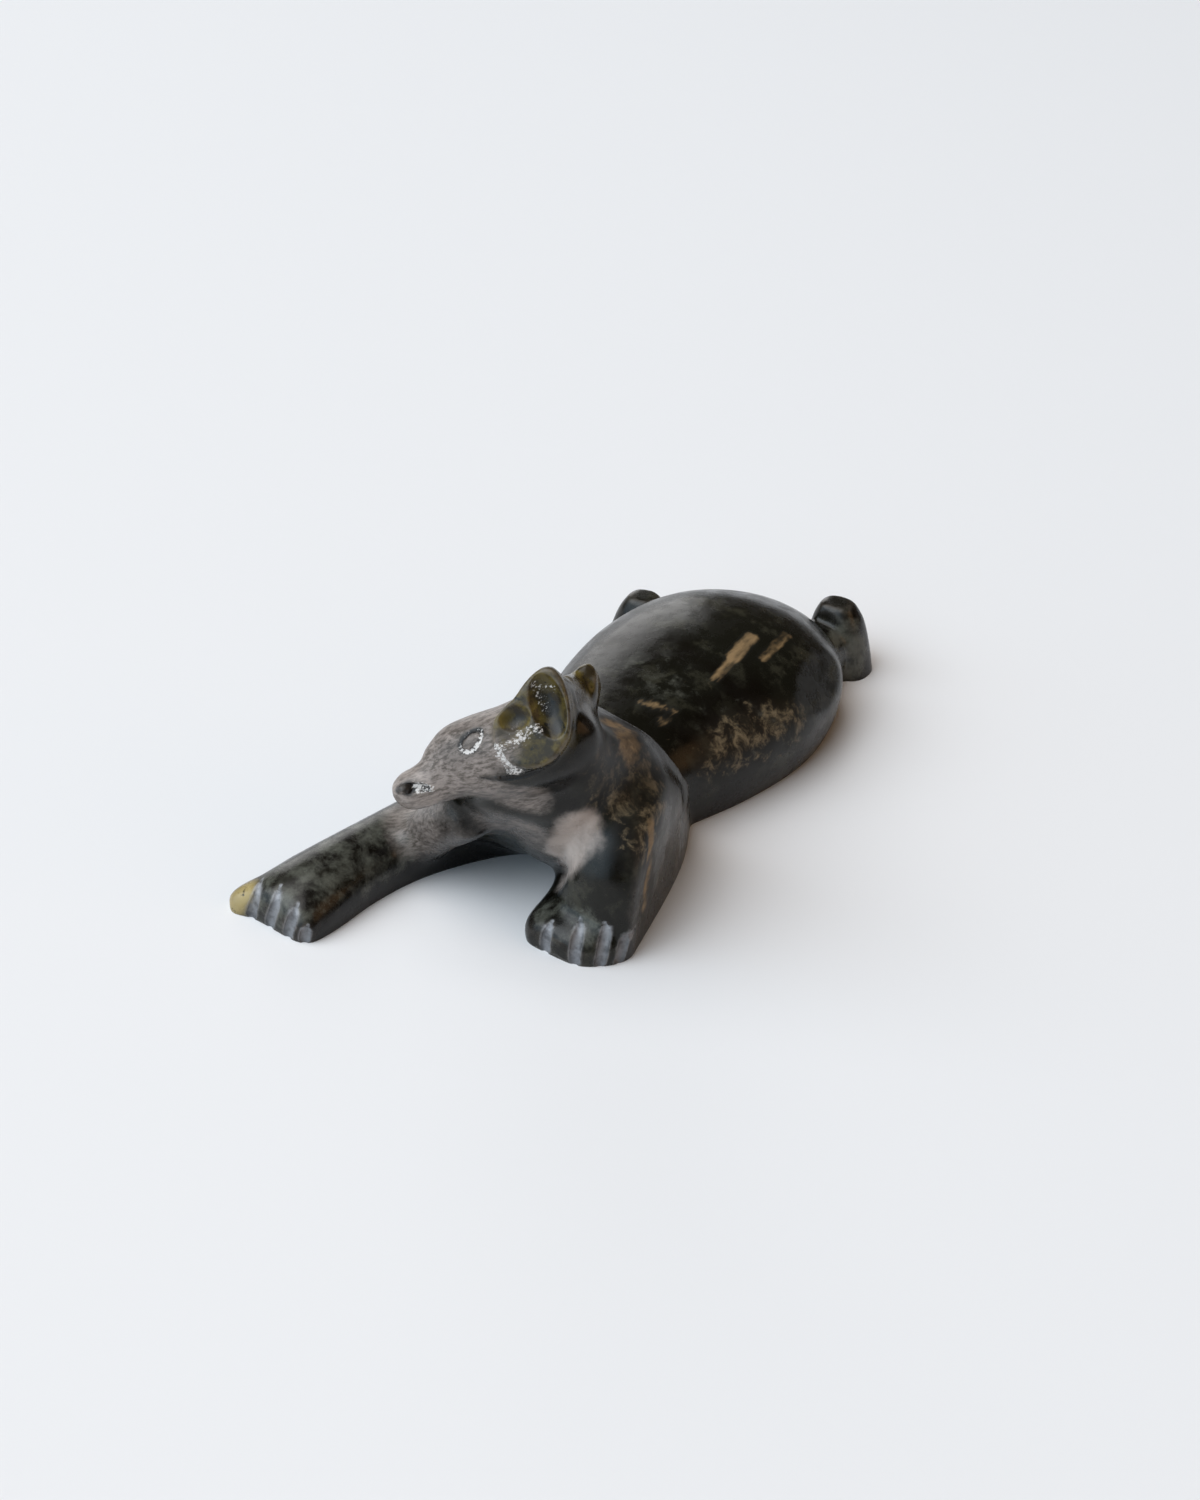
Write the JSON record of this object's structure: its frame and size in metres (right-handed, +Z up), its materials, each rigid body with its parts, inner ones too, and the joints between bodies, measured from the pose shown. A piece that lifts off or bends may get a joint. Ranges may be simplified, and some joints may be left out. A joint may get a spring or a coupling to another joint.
{
  "type": "carved stone bear",
  "caption": "Small polished soapstone carving of a bear lying on its belly, head raised and turned to its right, one foreleg stretched forward.",
  "frame": {"origin": "centre of the bounding box's underside, on the surface the carving rests on", "axes": "+Z up, the bear faces -Y, +X is the bear's own left side"},
  "size_m": [0.0346, 0.0756, 0.0288],
  "materials": {
    "stone": "polished, mottled dark green, grey and brown"
  },
  "bodies": {
    "root": {"bear_carving": "stone"}
  },
  "joints": []
}
